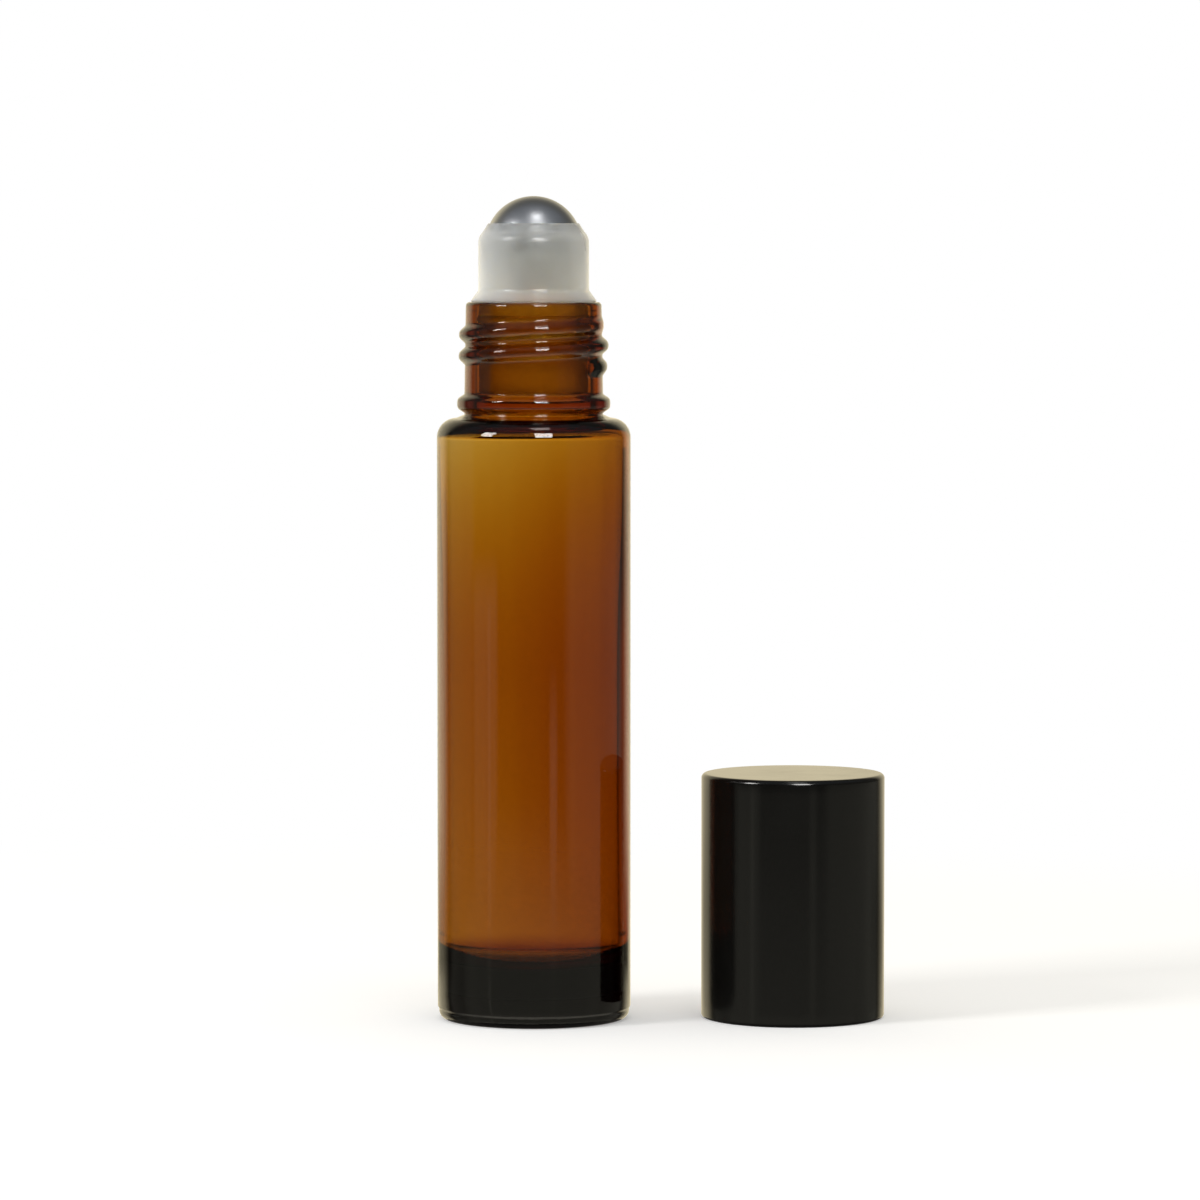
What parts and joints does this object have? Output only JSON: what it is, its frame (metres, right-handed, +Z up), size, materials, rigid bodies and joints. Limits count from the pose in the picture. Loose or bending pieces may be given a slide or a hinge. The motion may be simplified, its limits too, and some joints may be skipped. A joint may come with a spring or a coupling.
{
  "type": "roll-on bottle",
  "caption": "Slender amber glass roll-on bottle: steel ball in a translucent plug-in housing, right-hand threaded neck, and its smooth black screw cap standing beside it.",
  "frame": {"origin": "centre of the glass bottle's base, on the surface that it stands on", "axes": "+Z up along the bottle's axis, +X towards the cap that stands beside it, +Y away from the viewer"},
  "size_m": [0.0464, 0.0205, 0.0851],
  "materials": {
    "amber_glass": "clear polished",
    "natural_plastic": "translucent, smooth",
    "ball_steel": "polished stainless steel",
    "black_shell": "satin",
    "black_core": "as moulded",
    "liner_foam": "fine closed foam"
  },
  "bodies": {
    "bottle": {"glass_bottle": "amber_glass"},
    "roller_insert": {"roller_housing": "natural_plastic"},
    "ball": {"roller_ball": "ball_steel"},
    "cap": {"cap_shell": "black_shell", "cap_core": "black_core", "seal_pad": "liner_foam"}
  },
  "joints": [
    {"name": "insert_pull", "type": "slide", "parent": "bottle", "child": "roller_insert", "axis": [0, 0, 1], "range_m": [0, 0.02]},
    {"name": "ball_roll", "type": "hinge", "parent": "roller_insert", "child": "ball", "pos_m": [0, 0, 0.0801], "axis": [1, 0, 0], "continuous": true},
    {"name": "cap_lift", "type": "slide", "parent": "bottle", "child": "cap", "axis": [0, 0, 1], "range_m": [0, 0.09]}
  ]
}
